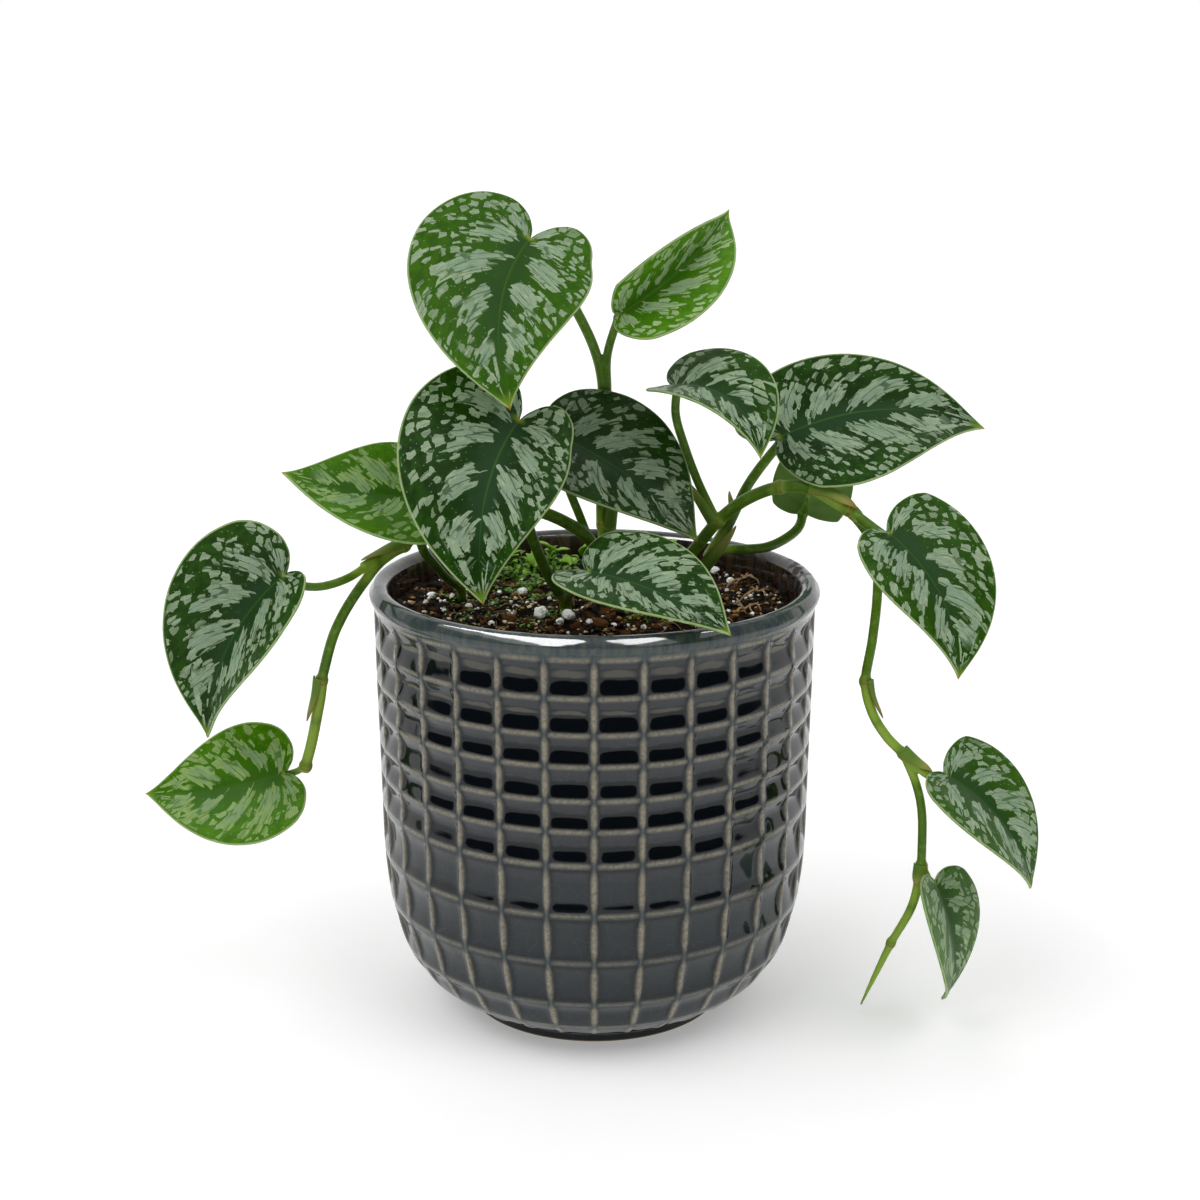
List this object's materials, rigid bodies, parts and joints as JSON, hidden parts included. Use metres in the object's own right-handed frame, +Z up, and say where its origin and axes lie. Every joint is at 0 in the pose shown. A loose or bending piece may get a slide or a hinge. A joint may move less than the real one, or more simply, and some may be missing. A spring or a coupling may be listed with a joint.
{
  "type": "potted satin pothos",
  "caption": "Trailing house plant with silver-blotched heart leaves, growing in a round glazed pot with a raised square net, filled with soil.",
  "frame": {"origin": "centre of the pot's flat underside, on the surface it stands on", "axes": "+Z up along the pot's axis, -Y the front of the plant, +X the side of the longer vine"},
  "size_m": [0.2788, 0.1425, 0.2566],
  "materials": {
    "glaze": "gloss",
    "soil": "matte",
    "vine": "satin",
    "petiole": "satin",
    "leaf_dark": "satin",
    "leaf_bright": "satin"
  },
  "bodies": {
    "root": {"pot": "glaze", "soil": "soil", "vine_right": "vine", "vine_left": "vine", "stem_upright": "petiole", "stem_front": "petiole", "stem_back": "petiole", "petiole_left": "petiole", "leaf_1": "leaf_dark", "leaf_2": "leaf_bright", "leaf_3": "leaf_dark", "leaf_4": "leaf_dark", "leaf_5": "leaf_dark", "leaf_6": "leaf_dark", "leaf_7": "leaf_dark", "leaf_8": "leaf_dark", "leaf_9": "leaf_dark", "leaf_10": "leaf_dark", "leaf_11": "leaf_dark", "leaf_12": "leaf_bright", "leaf_13": "leaf_bright", "leaf_14": "leaf_dark"}
  },
  "joints": []
}
